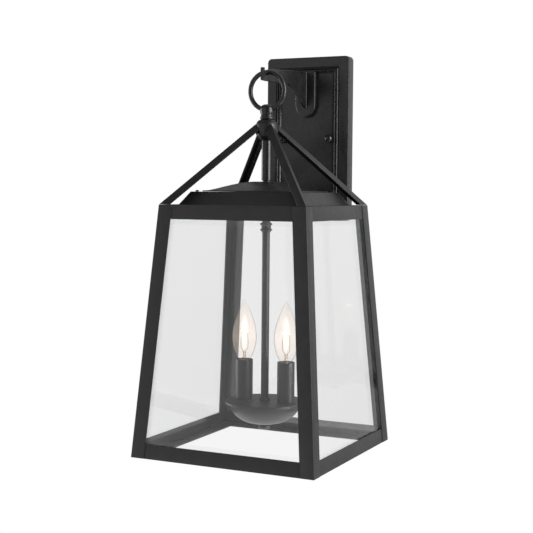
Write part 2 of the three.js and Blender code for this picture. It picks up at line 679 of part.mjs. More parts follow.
// One lamp of the pair, at x, from the nut under the pan to the bulb's tip.
function addLamp(number, x) {
  const at = (outline, segments = 18) => turned(outline, x, AXIS_Y, segments);
  const foot = PAN_Z + GAP;
  const top = foot + SLEEVE_HEIGHT;

  const r = SLEEVE_RADIUS;
  add(`candle_sleeve_${number}`, at([
    [r - 1, foot], [r, foot], [r, top - 0.6], [r - 0.4, top], [r - 1, top], [r - 1, foot],
  ]), blackMetal);

  // socket body: a cup for the shell above, a hollow foot through the pan below
  const cup = top - 1.2;
  add(`lampholder_${number}`, at([
    [2.4, PAN_Z - 7], [4, PAN_Z - 7], [4, foot], [8.6, foot], [8.6, cup], [6.4, cup],
    [6.4, cup - 26], [2.4, cup - 26], [2.4, PAN_Z - 7],
  ]), phenolic);

  // screw base, with a contact at its lower end
  const seat = cup - 22;
  add(`bulb_base_${number}`, at([
    [0, seat - 1.2], [2.4, seat - 1], [3.2, seat + 0.6], [5.2, seat + 2.4], [5.9, seat + 3.4],
    [5.9, seat + 17], [6, seat + 18.8], [0, seat + 18.8],
  ], 16), brass);

  // torpedo envelope: a thin glass shell, open at its neck
  const neck = seat + 19.2;
  const profile = [
    [6, 0], [6, 3], [7.6, 4.8], [10.2, 9.6], [13.4, 17.5], [15.3, 26], [BULB_RADIUS, 32], [14.9, 43],
    [12.2, 55], [8, 66.5], [3.4, 77], [0, 82.2],
  ];
  const shell = 0.7;
  const inside = profile.slice(0, -1).map(([radius, z]) => [Math.max(radius - shell, 0.5), z]);
  inside.push([0, 79.6]);
  const skin = [...profile, ...inside.reverse(), profile[0]];
  add(`bulb_glass_${number}`, at(skin.map(([radius, z]) => [radius, neck + z])), bulbGlass);

  // inner glass stem that carries the filament on two support wires
  const stem = at([
    [0, neck + 0.3], [3.4, neck + 0.3], [2.6, neck + 6], [1.5, neck + 14], [1.2, neck + 20],
    [0, neck + 21],
  ], 10);
  const wires = [-1, 1].map((side) => rodAlongZ(0.5, neck + 12, neck + 30, x + side * 1.6, AXIS_Y, 8));
  const filament = new THREE.CylinderGeometry(0.7, 0.7, 9, 8).rotateZ(Math.PI / 2)
    .translate(x, AXIS_Y, neck + 30);
  add(`bulb_stem_${number}`, join(stem, ...wires, filament), bulbGlass);
}

// ---------------------------------------------------------------------- build

addPlate();
addGasket();
addStrap();
addStudsAndNuts();
addEarthScrew();
addArm();
addRing();
addHub();
addBody();
addRoof();
addRod();
addPan();
addLamp(1, -LAMP_OFFSET);
addLamp(2, LAMP_OFFSET);

export default lantern;
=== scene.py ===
# Looks of the outdoor wall lantern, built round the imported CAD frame. Blender 4.5, metres.
# Sizes below are in millimetres, in the shared frame; the wall is the plane y = 0.
import json
import math

import bmesh
import bpy
from mathutils import Matrix, Vector

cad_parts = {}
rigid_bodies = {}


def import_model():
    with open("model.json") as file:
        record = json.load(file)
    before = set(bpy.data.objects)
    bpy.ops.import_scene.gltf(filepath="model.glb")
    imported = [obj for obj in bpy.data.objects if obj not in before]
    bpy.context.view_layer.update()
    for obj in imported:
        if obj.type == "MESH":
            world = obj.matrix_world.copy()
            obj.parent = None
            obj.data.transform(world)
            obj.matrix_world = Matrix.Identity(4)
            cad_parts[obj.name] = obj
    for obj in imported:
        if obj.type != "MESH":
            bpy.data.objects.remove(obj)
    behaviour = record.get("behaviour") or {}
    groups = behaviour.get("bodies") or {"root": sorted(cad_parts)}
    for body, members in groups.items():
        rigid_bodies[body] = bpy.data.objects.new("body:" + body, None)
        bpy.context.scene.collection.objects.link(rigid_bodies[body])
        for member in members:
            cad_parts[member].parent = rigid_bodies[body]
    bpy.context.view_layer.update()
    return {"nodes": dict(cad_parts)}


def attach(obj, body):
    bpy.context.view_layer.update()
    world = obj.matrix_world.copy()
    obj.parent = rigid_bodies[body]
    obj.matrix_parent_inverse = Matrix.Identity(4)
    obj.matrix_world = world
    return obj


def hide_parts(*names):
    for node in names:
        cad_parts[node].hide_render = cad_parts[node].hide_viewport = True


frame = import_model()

MM = 0.001
SIDES = ("front", "right", "back", "left")
CORNERS = {"front_right": (1, -1), "back_right": (1, 1),
           "back_left": (-1, 1), "front_left": (-1, -1)}

# The lantern's upright axis is x = 0, y = AXIS_Y, and HUB_Z is the middle of its hub ball.
AXIS_Y = -145.0
HUB_Z = 6.0

# Wall bracket, and the ring that hangs in it
PLATE_W, PLATE_H, PLATE_FRONT, PLATE_CORNER = 122.5, 225.0, -18.0, 6.0
STUD_X, STUD_RADIUS, STUD_TIP = 35.0, 2.0, -23.0
THREAD_PITCH, THREAD_DEPTH = 0.8, 0.35
BLADE_HALF = 2.0
BOSS_HALF, BOSS_BOTTOM, BOSS_TOP = 14.7, 29.4, 93.0
BOSS_FRONT, BOSS_BACK = -26.0, -18.3
RING_Z, RING_RADIUS, RING_WIRE = 56.2, 24.0, 3.0

# Body, which widens from its top to its base
TOP_Z, BODY_HEIGHT = HUB_Z - 96.0, 316.5
TOP_HALF, BOTTOM_HALF = 100.7, 125.0
CAP_Z, ROOF_SCREW_OFFSET = TOP_Z + 16.5 + 0.3, 65.4

# Lamp cluster: its rod, the holes round the rod, and the pan that carries the lamps
ROD_RADIUS, ROD_HOLE = 5.0, 5.3
PAN_Z, PAN_RADIUS = HUB_Z - 350.0, 51.6

# Lamps, from the foot of the candle sleeve up to the filament
LAMP_X = 30.0
FOOT_Z = PAN_Z + 0.3
SLEEVE_TOP_Z = FOOT_Z + 52
CUP_Z = SLEEVE_TOP_Z - 1.2
SEAT_Z = CUP_Z - 22
NECK_Z = SEAT_Z + 19.2
FILAMENT_Z = NECK_Z + 40


# ------------------------------------------------------------------ node helpers

class Nodes:
    """The node tree of a material or a world, with short calls for its nodes and links."""

    def __init__(self, owner, kind="Material"):
        self.owner = owner
        owner.use_nodes = True
        self.tree = owner.node_tree
        self.tree.nodes.clear()
        self.output = self.tree.nodes.new("ShaderNodeOutput" + kind)

    def add(self, kind, inputs=None, **settings):
        """A node with its settings and its inputs, each a value or another node's socket."""
        node = self.tree.nodes.new("ShaderNode" + kind)
        for key, value in settings.items():
            setattr(node, key, value)
        for key, value in (inputs or {}).items():
            if isinstance(value, bpy.types.NodeSocket):
                self.tree.links.new(value, node.inputs[key])
            else:
                node.inputs[key].default_value = value
        return node

    def position(self):
        return self.add("TexCoord").outputs["Object"]

    def noise(self, scale, detail, roughness=0.5):
        return self.add("TexNoise", {
            "Vector": self.position(), "Scale": scale, "Detail": detail,
            "Roughness": roughness,
        }).outputs["Fac"]

    def between(self, value, low, high, to_low=0.0, to_high=1.0, **settings):
        """The value's way from low to high, as a way from to_low to to_high."""
        return self.add("MapRange", {
            "Value": value, "From Min": low, "From Max": high,
            "To Min": to_low, "To Max": to_high,
        }, **settings).outputs["Result"]

    def calculate(self, operation, *values):
        return self.add("Math", dict(enumerate(values)), operation=operation).outputs[0]

    def mix_colour(self, factor, first, second):
        colours = {6: (*first, 1.0), 7: (*second, 1.0)}     # the node's A and B colours
        return self.add("Mix", {0: factor, **colours}, data_type="RGBA").outputs[2]

    def bump(self, height, distance, strength, normal=None):
        """A bumped normal; the distance is in metres."""
        inputs = {"Height": height, "Distance": distance, "Strength": strength}
        if normal:
            inputs["Normal"] = normal
        return self.add("Bump", inputs).outputs["Normal"]

    def finish(self, surface):
        self.tree.links.new(surface, self.output.inputs["Surface"])
        return self.owner


def powder_coat(name, dark, light, rough_low, rough_high, bump=0.00005):
    """Fine-textured powder coat: faint mottling, orange peel and a fine grain."""
    n = Nodes(bpy.data.materials.new(name))
    mottle = n.noise(55, 4, 0.6)
    grain = n.noise(1900, 2, 0.6)
    peel = n.noise(420, 2, 0.45)
    colour = n.mix_colour(n.between(mottle, 0.35, 0.68), dark, light)
    rough = n.between(n.noise(160, 3), 0.3, 0.7, rough_low, rough_high)
    normal = n.bump(peel, bump * 2.2, 0.55)
    normal = n.bump(grain, bump, 0.8, normal)
    shader = n.add("BsdfPrincipled", {
        "Base Color": colour, "Roughness": rough, "Normal": normal,
        "IOR": 1.5, "Specular IOR Level": 0.5,
    })
    return n.finish(shader.outputs[0])


def metal(name, dark, light, rough_low, rough_high):
    """Bare metal with faint tarnish and fine marks."""
    n = Nodes(bpy.data.materials.new(name))
    tarnish = n.noise(140, 4, 0.6)
    marks = n.noise(1500, 2, 0.6)
    colour = n.mix_colour(n.between(tarnish, 0.35, 0.65), dark, light)
    rough = n.between(n.noise(300, 3), 0.3, 0.7, rough_low, rough_high)
    shader = n.add("BsdfPrincipled", {
        "Base Color": colour, "Roughness": rough, "Metallic": 1.0,
        "Normal": n.bump(marks, 0.00002, 0.6),
    })
    return n.finish(shader.outputs[0])


def plain_solid(name, dark, light, roughness, scale, bump):
    """Foam or moulded plastic: mottled colour over a pebbled surface."""
    n = Nodes(bpy.data.materials.new(name))
    spots = n.noise(scale, 3, 0.6)
    colour = n.mix_colour(n.between(spots, 0.35, 0.65), dark, light)
    shader = n.add("BsdfPrincipled", {
        "Base Color": colour, "Roughness": roughness,
        "Normal": n.bump(spots, bump, 0.8),
    })
    return n.finish(shader.outputs[0])


def clear_glass(name, tint, edge_tint, reflect=1.0, glow=None):
    """Thin clear glass: what is behind shows through, tinted more at a slant, under its
    own mirror reflection. The glow of a lit bulb is (colour, z where it starts, z where it
    is strongest, z where it ends, strength)."""
    n = Nodes(bpy.data.materials.new(name))
    slant = n.add("LayerWeight", {"Blend": 0.5}).outputs["Facing"]
    slanted = n.between(slant, 0.72, 1.0)
    through = n.add("BsdfTransparent", {"Color": n.mix_colour(slanted, tint, edge_tint)})
    ripple = n.bump(n.noise(35, 2), 0.00002, 0.3)
    mirror = n.add("BsdfGlossy", {"Roughness": 0.02, "Normal": ripple, "Color": (1, 1, 1, 1)})
    steep = n.calculate("POWER", slant, 5.0)
    amount = n.calculate("MULTIPLY_ADD", steep, 0.96, 0.04 * reflect)
    mixed = n.add("MixShader", {0: amount, 1: through.outputs[0], 2: mirror.outputs[0]})
    surface = mixed.outputs[0]
    if glow:
        colour, low, middle, high, strength = glow
        height = n.add("SeparateXYZ", {"Vector": n.position()}).outputs["Z"]
        rise = n.between(height, low * MM, middle * MM)
        fall = n.between(height, middle * MM, high * MM, 1.0, 0.0)
        power = n.calculate("MULTIPLY", n.calculate("MULTIPLY", rise, fall), strength)
        light = n.add("Emission", {"Color": (*colour, 1.0), "Strength": power})
        surface = n.add("AddShader", {0: surface, 1: light.outputs[0]}).outputs[0]
    return n.finish(surface)


def light_haze(name, colour, strength, cover):
    """A thin layer of glow that hides its share, cover, of what is behind it."""
    n = Nodes(bpy.data.materials.new(name))
    flicker = n.between(n.noise(220, 2), 0.3, 0.7, 0.8 * strength, strength)
    light = n.add("Emission", {"Color": (*colour, 1.0), "Strength": flicker})
    through = n.add("BsdfTransparent", {"Color": (1, 1, 1, 1)})
    mixed = n.add("MixShader", {0: cover, 1: through.outputs[0], 2: light.outputs[0]})
    return n.finish(mixed.outputs[0])


# ------------------------------------------------------------------ mesh helpers

def new_object(name, mesh):
    obj = bpy.data.objects.new(name, mesh)
    bpy.context.scene.collection.objects.link(obj)
    return obj


def mesh_object(name, vertices, faces):
    """A mesh from millimetre points."""
    mesh = bpy.data.meshes.new(name)
    mesh.from_pydata([tuple(c * MM for c in v) for v in vertices], [], faces)
    mesh.validate()
    return new_object(name, mesh)


def bake_modifiers(obj):
    """Turns the object's modifiers into its mesh."""
    bpy.context.view_layer.update()
    graph = bpy.context.evaluated_depsgraph_get()
    mesh = bpy.data.meshes.new_from_object(obj.evaluated_get(graph))
    obj.modifiers.clear()
    obj.data = mesh


def shade(obj, angle):
    """Smooth shading, with edges sharper than the angle kept sharp."""
    mesh = obj.data
    mesh.polygons.foreach_set("use_smooth", [True] * len(mesh.polygons))
    mesh.set_sharp_from_angle(angle=math.radians(angle))


def orient(obj):
    """Merges doubled points and turns every face outward."""
    work = bmesh.new()
    work.from_mesh(obj.data)
    bmesh.ops.remove_doubles(work, verts=work.verts, dist=1e-7)
    bmesh.ops.recalc_face_normals(work, faces=work.faces)
    work.to_mesh(obj.data)
    work.free()


def bevel(obj, width, segments):
    """Rounds the edges that turn by more than 30 degrees."""
    modifier = obj.modifiers.new("edges", "BEVEL")
    modifier.width = width * MM
    modifier.segments = segments
    modifier.limit_method = "ANGLE"
    modifier.angle_limit = math.radians(30)
    modifier.use_clamp_overlap = True
    bake_modifiers(obj)


def combine(name, pieces):
    """Several objects as one, with their material slots kept."""
    work = bmesh.new()
    materials = []
    for piece in pieces:
        offset = len(materials)
        materials += list(piece.data.materials)
        mesh = piece.data.copy()
        for polygon in mesh.polygons:
            polygon.material_index += offset
        work.from_mesh(mesh)
        bpy.data.objects.remove(piece)
    mesh = bpy.data.meshes.new(name)
    work.to_mesh(mesh)
    work.free()
    for material in materials:
        mesh.materials.append(material)
    return new_object(name, mesh)


def paint(obj, material):
    obj.data.materials.clear()
    obj.data.materials.append(material)
    return obj


def place(obj, body, node, material=None):
    """Gives a finished piece its material and body, and hides the CAD node it stands for."""
    if material:
        paint(obj, material)
    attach(obj, body)
    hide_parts(node)


# ----------------------------------------------------------------- outlines

def fillet(points, radius, steps=4):
    """Rounds a polyline's corners. A point may carry its own radius as a third number."""
    out = []
    for i, point in enumerate(points):
        here = Vector(point[:2])
        if i in (0, len(points) - 1):
            out.append(tuple(here))
            continue
        before = Vector(points[i - 1][:2]) - here
        after = Vector(points[i + 1][:2]) - here
        angle = before.angle(after, math.pi)
        if angle > math.radians(174) or angle < 1e-3:
            out.append(tuple(here))
            continue
        r = point[2] if len(point) > 2 else radius
        reach = min(r / math.tan(angle / 2), 0.45 * before.length, 0.45 * after.length)
        start = here + before.normalized() * reach
        end = here + after.normalized() * reach
        for step in range(steps + 1):
            t = step / steps
            out.append(tuple(start * (1 - t) ** 2 + here * 2 * t * (1 - t) + end * t * t))
    return out


def smooth_curve(points, steps):
    """A Catmull-Rom curve through the points."""
    out = []
    for i in range(len(points) - 1):
        p0 = Vector(points[max(i - 1, 0)])
        p1, p2 = Vector(points[i]), Vector(points[i + 1])
        p3 = Vector(points[min(i + 2, len(points) - 1)])
        for step in range(steps):
            t = step / steps
            out.append(tuple(0.5 * (
                2 * p1 + (p2 - p0) * t + (2 * p0 - 5 * p1 + 4 * p2 - p3) * t * t
                + (3 * p1 - p0 - 3 * p2 + p3) * t ** 3)))
    return out + [tuple(points[-1])]


def bezier(p0, p1, p2, p3, steps):
    """Points along a cubic curve, leaving out its first."""
    p = [Vector(q) for q in (p0, p1, p2, p3)]
    out = []
    for step in range(1, steps + 1):
        t = step / steps
        out.append(tuple(p[0] * (1 - t) ** 3 + p[1] * 3 * t * (1 - t) ** 2
                         + p[2] * 3 * t * t * (1 - t) + p[3] * t ** 3))
    return out


def rounded_rect(half_x, half_z, radius, steps=8):
    """Points round a rectangle with round corners, counterclockwise."""
    out = []
    for sx, sz, start in ((1, 1, 0), (-1, 1, 90), (-1, -1, 180), (1, -1, 270)):
        for step in range(steps + 1):
            a = math.radians(start + 90 * step / steps)
            out.append((sx * (half_x - radius) + radius * math.cos(a),
                        sz * (half_z - radius) + radius * math.sin(a)))
    return out


# ------------------------------------------------------------------- solids

def skin(name, rings, looped=False):
    """A mesh through rings of points, the same number in each. Its two ends are closed,
    or joined to each other when looped."""
    size, count = len(rings[0]), len(rings)
    vertices = [point for ring in rings for point in ring]
    faces = []
    for i in range(count if looped else count - 1):
        low, high = i * size, (i + 1) % count * size
        for k in range(size):
            n = (k + 1) % size
            faces.append((low + k, low + n, high + n, high + k))
    if not looped:
        faces += [tuple(range(size)), tuple(range(len(vertices) - size, len(vertices)))]
    obj = mesh_object(name, vertices, faces)
    orient(obj)
    return obj


def lathe(name, outline, x=0.0, y=AXIS_Y, segments=72, along_y=False):
    """Turns [radius, height] points about the vertical through x, y. With along_y the
    axis is level: heights run out from the wall and y is the axis's own height."""
    closed = outline[0] == outline[-1]
    points = list(outline[:-1]) if closed else list(outline)
    rows, vertices = [], []
    for r, h in points:
        r = max(r, 0.0)
        row = []
        for k in range(1 if r < 1e-6 else segments):
            a = 2 * math.pi * k / segments
            if along_y:
                vertices.append((x + r * math.cos(a), h, y + r * math.sin(a)))
            else:
                vertices.append((x + r * math.cos(a), y + r * math.sin(a), h))
            row.append(len(vertices) - 1)
        rows.append(row)
    faces = []
    pairs = list(zip(rows, rows[1:])) + ([(rows[-1], rows[0])] if closed else [])
    for low, high in pairs:
        for k in range(segments):
            quad = (low[k % len(low)], low[(k + 1) % len(low)],
                    high[(k + 1) % len(high)], high[k % len(high)])
            face = tuple(dict.fromkeys(quad))
            if len(face) > 2:
                faces.append(face)
    if not closed:
        faces += [tuple(row) for row in (rows[0], rows[-1]) if len(row) > 1]
    obj = mesh_object(name, vertices, faces)
    orient(obj)
    shade(obj, 34)
    return obj


def rect_stack(name, levels, upright=False):
    """Joins rounded rectangles one after another. A level is (half x, half z, corner
    radius, y) on the wall. When upright it is (half x, half y, corner radius, z) about the
    lantern's axis, and the last level joins the first."""
    rings = []
    for half_a, half_b, radius, depth in levels:
        rings.append([(a, AXIS_Y + b, depth) if upright else (a, depth, b)
                      for a, b in rounded_rect(half_a, half_b, radius)])
    obj = skin(name, rings, looped=upright)
    shade(obj, 28)
    return obj


def extrude(name, outline, low, high, point_at):
    """A flat outline pushed from low to high; point_at(a, b, depth) gives each point."""
    return skin(name, [[point_at(a, b, depth) for a, b in outline] for depth in (low, high)])


def refine(node, body, material, width):
    """A CAD node's own shape as a clean mesh, its edges rounded by the width."""
    obj = new_object(node + "_fine", frame["nodes"][node].data.copy())
    work = bmesh.new()
    work.from_mesh(obj.data)
    bmesh.ops.remove_doubles(work, verts=work.verts, dist=2e-6)
    bmesh.ops.dissolve_limit(
        work, angle_limit=math.radians(1.2), verts=work.verts, edges=work.edges)
    work.to_mesh(obj.data)
    work.free()
    bevel(obj, width, 3)
    shade(obj, 34)
    place(obj, body, node, material)


# ----------------------------------------------------------------- materials

black = powder_coat(
    "black_powder_coat", (0.0052, 0.0052, 0.0056), (0.0105, 0.0105, 0.011), 0.36, 0.47)
black_cast = powder_coat(
    "black_cast", (0.005, 0.005, 0.0054), (0.012, 0.012, 0.0125), 0.3, 0.42, 0.00008)
black_gloss = powder_coat(
    "black_gloss", (0.005, 0.005, 0.0054), (0.009, 0.009, 0.0095), 0.14, 0.2)
black_turned = powder_coat(
    "black_turned", (0.0052, 0.0052, 0.0056), (0.011, 0.011, 0.0115), 0.26, 0.36)
zinc = metal("zinc_plate", (0.42, 0.43, 0.45), (0.62, 0.62, 0.6), 0.28, 0.45)
green = metal("green_screw", (0.02, 0.16, 0.05), (0.04, 0.26, 0.09), 0.35, 0.5)
brass = metal("brass", (0.5, 0.34, 0.13), (0.7, 0.5, 0.22), 0.2, 0.35)
wire = metal("support_wire", (0.1, 0.085, 0.07), (0.2, 0.17, 0.14), 0.35, 0.5)
foam = plain_solid("foam", (0.012, 0.012, 0.012), (0.03, 0.03, 0.03), 0.9, 900, 0.0002)
phenolic = plain_solid(
    "phenolic", (0.012, 0.009, 0.008), (0.025, 0.02, 0.017), 0.45, 500, 0.00003)
pane_glass = clear_glass("pane_glass", (0.961, 0.961, 0.962), (0.8, 0.84, 0.83))
pane_bevel = clear_glass("pane_bevel", (0.915, 0.922, 0.925), (0.7, 0.75, 0.74), 1.6)
pane_edge = clear_glass("pane_edge", (0.62, 0.74, 0.7), (0.4, 0.52, 0.48))
stem_glass = clear_glass("stem_glass", (0.93, 0.86, 0.78), (0.5, 0.38, 0.28))
bulb_glass = clear_glass(
    "bulb_glass", (0.985, 0.96, 0.935), (0.06, 0.05, 0.06), 0.8,
    ((1.0, 0.82, 0.64), NECK_Z - 6, NECK_Z + 34, NECK_Z + 92, 0.12))
filament_light = light_haze("filament", (1.0, 0.86, 0.62), 12.0, 1.0)
haze = light_haze("haze", (1.0, 0.95, 0.86), 1.55, 0.37)


# --------------------------------------------------------------- wall bracket

def plate_levels():
    """The plate from the front of its hollow, out round the rim and over the two beads of
    its moulding to the panel. A point is (distance in from the plate's edge, y, corner
    radius of the outline)."""
    profile = [
        (3.6, -13.6), (2.6, -13.6, 1.0), (2.6, -1.8), (0, -1.8, 0.25), (0, PLATE_FRONT, 1.8),
        (13.9, PLATE_FRONT, 0.3), (14.4, -16.7, 0.2), (15.0, -16.7, 0.2), (16.2, -19.2, 0.35),
        (16.7, -19.2, 0.35), (17.9, -17.3, 0.2), (18.9, -17.3, 0.2), (20.0, -19.2, 0.35),
        (20.5, -19.2, 0.35), (21.9, -17.4, 0.3), (22.6, -17.4, 0.3), (23.4, PLATE_FRONT, 0.2),
        (24.6, PLATE_FRONT),
    ]
    border = 12
    levels = []
    for inset, y in fillet(profile, 0.4):
        least = 1.6 if inset > border else 0.6
        radius = max(PLATE_CORNER - inset, least)
        levels.append((PLATE_W / 2 - inset, PLATE_H / 2 - inset, radius, y))
    return levels


def build_stud(side, x):
    """A threaded stud along Y, with a fine ridge for each turn of its thread."""
    root = STUD_RADIUS - THREAD_DEPTH
    points = [(0, STUD_TIP)]
    y = STUD_TIP
    while y < -THREAD_PITCH:
        points += [(root, y), (STUD_RADIUS, y + THREAD_PITCH / 2)]
        y += THREAD_PITCH
    points += [(root, 0), (0, 0)]
    stud = lathe(f"mounting_stud_{side}_fine", points, x, 0, 32, along_y=True)
    place(stud, "bracket", f"mounting_stud_{side}", zinc)


def build_ball_nut(side, x):
    """A cap nut; its outline runs out from the plate's face."""
    rim = fillet([(0.01, 0), (3.9, 0, 0.3), (3.9, -1.2)], 0.3)
    ball = smooth_curve([
        (3.9, -1.2), (4.6, -1.9), (5.4, -3.5), (5.7, -5.6), (5.3, -7.6), (4.1, -9.5),
        (2.3, -10.8), (0, -11.3)], 6)
    points = [(r, PLATE_FRONT - 0.3 + h) for r, h in rim[:-1] + ball]
    nut = lathe(f"ball_nut_{side}_fine", points, x, 0, 56, along_y=True)
    place(nut, "bracket", f"ball_nut_{side}", black_gloss)


def build_plate():
    plate = rect_stack("wall_plate_fine", plate_levels())
    place(plate, "bracket", "wall_plate", black_turned)
    refine("wall_gasket", "bracket", foam, 0.3)
    refine("mounting_strap", "bracket", zinc, 0.3)
    refine("earth_screw", "bracket", green, 0.25)
    for side, x in (("left", -STUD_X), ("right", STUD_X)):
        refine(f"stud_lock_nut_{side}", "bracket", zinc, 0.3)
        build_stud(side, x)
        build_ball_nut(side, x)
    for level in ("lower", "upper"):
        refine(f"arm_screw_{level}", "bracket", zinc, 0.25)


def arm_outline():
    """Side view of the arm as (y, z), from inside the boss round the tip and back."""
    def at(y, z, *radius):
        return (AXIS_Y + y, HUB_Z + z, *radius)
    back = PLATE_FRONT - 4
    seat, seat_z = RING_WIRE + 0.3, RING_Z + RING_RADIUS - HUB_Z
    cradle = [(AXIS_Y + seat * math.cos(a), HUB_Z + seat_z + seat * math.sin(a))
              for a in [-math.pi * s / 20 for s in range(11)]]
    top = fillet([(back, HUB_Z + 86.2), at(13, 79.3, 6), at(5.5, 79, 1.6), at(seat, 77.2, 0.8),
                  cradle[0]], 1)
    prong = fillet([
        cradle[-1], at(-11.4, seat_z - seat, 1.6), at(-11.4, 79.2, 0.9), at(-16, 79.2, 0.9),
        at(-16, 62.5, 1.6), at(30, 62.8, 20), at(58, 64.0)], 1)
    sweep = bezier(at(58, 64.0), at(80, 64.2), at(92, 49), (back, HUB_Z + 33.5), 28)
    return top + cradle[1:-1] + prong + sweep + [(back, HUB_Z + 33)]


def boss_outline():
    """Front view of the boss as (x, z): round corners above, a half ellipse below."""
    r, depth = 3, 19
    waist, shoulder = BOSS_BOTTOM + depth, BOSS_TOP - r
    turn = (0, 0.4, 0.8, 1.2, 1.571)
    outline = [(BOSS_HALF, waist), (BOSS_HALF, shoulder)]
    outline += [(BOSS_HALF - r + r * math.cos(a), shoulder + r * math.sin(a)) for a in turn[1:]]
    outline += [(-BOSS_HALF + r - r * math.sin(a), shoulder + r * math.cos(a)) for a in turn]
    outline += [(-BOSS_HALF * math.cos(a), waist - depth * math.sin(a))
                for a in [math.pi * s / 40 for s in range(40)]]
    return outline


def build_arm():
    """Blade and boss as one casting, melted together by a remesh."""
    blade = extrude("blade", arm_outline(), -BLADE_HALF, BLADE_HALF, lambda y, z, x: (x, y, z))
    boss = extrude("boss", boss_outline(), BOSS_FRONT, BOSS_BACK, lambda x, z, y: (x, y, z))
    bevel(boss, 1.6, 4)
    arm = combine("hook_arm_fine", [blade, boss])
    remesh = arm.modifiers.new("cast", "REMESH")
    remesh.mode = "VOXEL"
    remesh.voxel_size = 0.5 * MM
    soften = arm.modifiers.new("soften", "SMOOTH")
    soften.factor = 0.5
    soften.iterations = 3
    bake_modifiers(arm)
    shade(arm, 60)
    place(arm, "bracket", "hook_arm", black_cast)


# --------------------------------------------------------------- hanging gear

def torus(name, wire, sides):
    """The ring with a wire of the given radius."""
    steps = 128
    rings = []
    for i in range(steps):
        a = 2 * math.pi * i / steps
        ring = []
        for j in range(sides):
            b = 2 * math.pi * j / sides
            r = RING_RADIUS + wire * math.cos(b)
            ring.append((r * math.cos(a), AXIS_Y + wire * math.sin(b), RING_Z + r * math.sin(a)))
        rings.append(ring)
    obj = skin(name, rings, looped=True)
    shade(obj, 60)
    return obj


def build_hanging_gear():
    ring = torus("hanging_ring_fine", RING_WIRE, 28)
    place(ring, "ring", "hanging_ring", black_turned)

    knob_outline = fillet([
        (0, 19.4), (8.1, 19.4, 0.3), (8.2, 20.4, 1.2), (8.8, 22.2, 2), (9.2, 24.6, 2),
        (9.2, 27, 2), (8.7, 29, 3), (7.1, 31.2, 3), (4.2, 32.8, 3), (0, 33.3)], 1, 5)
    knob = lathe("loop_knob_fine", [(r, HUB_Z + z) for r, z in knob_outline])
    eye = torus("eye", RING_WIRE + 0.5, 24)
    cutter = knob.modifiers.new("eye", "BOOLEAN")
    cutter.operation = "DIFFERENCE"
    cutter.solver = "EXACT"
    cutter.object = eye
    bake_modifiers(knob)
    bpy.data.objects.remove(eye)
    shade(knob, 38)
    place(knob, "lantern", "loop_knob", black_turned)

    ball = smooth_curve([
        (0, -13.2), (4, -13.15), (7, -12.9), (9.8, -11.6), (12.3, -9), (14.1, -5.2),
        (14.8, -0.6), (14.6, 4.2), (13.8, 8), (12.2, 11), (10.2, 12.7), (8, 13.2)], 5)
    crown = fillet([
        (8, 13.2), (8.2, 13.7, 0.4), (9.0, 14.5, 0.5), (9.1, 15.5, 0.5), (8.9, 16.4, 0.5),
        (8.2, 17.2, 0.5), (8.0, 19.1, 0.3), (0, 19.1)], 0.5)
    hub = lathe("hub_ball_fine", [(r, HUB_Z + z) for r, z in ball + crown[1:]])
    place(hub, "lantern", "hub_ball", black_cast)

    top, bottom = HUB_Z - 13.5, HUB_Z - 64.7
    tube = lathe("stem_tube_fine", fillet([
        (ROD_HOLE, bottom), (6.5, bottom, 0.3), (6.5, top, 0.3), (ROD_HOLE, top),
        (ROD_HOLE, bottom)], 0.2))
    place(tube, "lantern", "stem_tube", black_turned)
    for corner in CORNERS:
        refine(f"hip_bar_{corner}", "lantern", black, 0.35)


# --------------------------------------------------------------- lantern body

def half_at(z):
    """Half the body's width at a height."""
    return TOP_HALF + (BOTTOM_HALF - TOP_HALF) * (TOP_Z - z) / BODY_HEIGHT


def build_pane(side, turn):
    """A trapezium of glass whose inner face is bevelled along its four edges. Depths are
    measured in from the body's outer face."""
    face, rim, thick, chamfer, bevel_width = 3.3, 1.3, 2.6, 0.25, 20.0
    side_gap = 2.7 if side in ("front", "back") else 6.4
    top, bottom = TOP_Z - 4.6, TOP_Z - BODY_HEIGHT + 2.5

    def ring(inset, depth):
        return [(sx * (half_at(z) - side_gap - inset), -half_at(z) + depth, z) for sx, z in (
            (-1, bottom + inset), (1, bottom + inset), (1, top - inset), (-1, top - inset))]

    rings = [ring(chamfer, face), ring(0, face + chamfer), ring(0, face + rim),
             ring(bevel_width, face + thick)]
    glass, edge, bevelled = 0, 2, 1
    faces, slots = [(3, 2, 1, 0)], [glass]
    for level, slot in enumerate((edge, edge, bevelled)):
        low, high = level * 4, level * 4 + 4
        for k in range(4):
            n = (k + 1) % 4
            faces.append((low + k, low + n, high + n, high + k))
            slots.append(slot)
    faces.append((12, 13, 14, 15))
    slots.append(glass)
    spin = Matrix.Rotation(turn * math.pi / 2, 3, "Z")
    axis = Vector((0, AXIS_Y, 0))
    vertices = [tuple(spin @ Vector(point) + axis) for points in rings for point in points]
    pane = mesh_object(f"glass_{side}_fine", vertices, faces)
    for material in (pane_glass, pane_bevel, pane_edge):
        pane.data.materials.append(material)
    pane.data.polygons.foreach_set("material_index", slots)
    orient(pane)
    place(pane, "lantern", f"glass_{side}")


def build_body():
    for corner in CORNERS:
        refine(f"corner_post_{corner}", "lantern", black, 0.5)
    for turn, side in enumerate(SIDES):
        refine(f"top_rail_{side}", "lantern", black, 0.45)
        refine(f"bottom_rail_{side}", "lantern", black, 0.45)
        build_pane(side, turn)


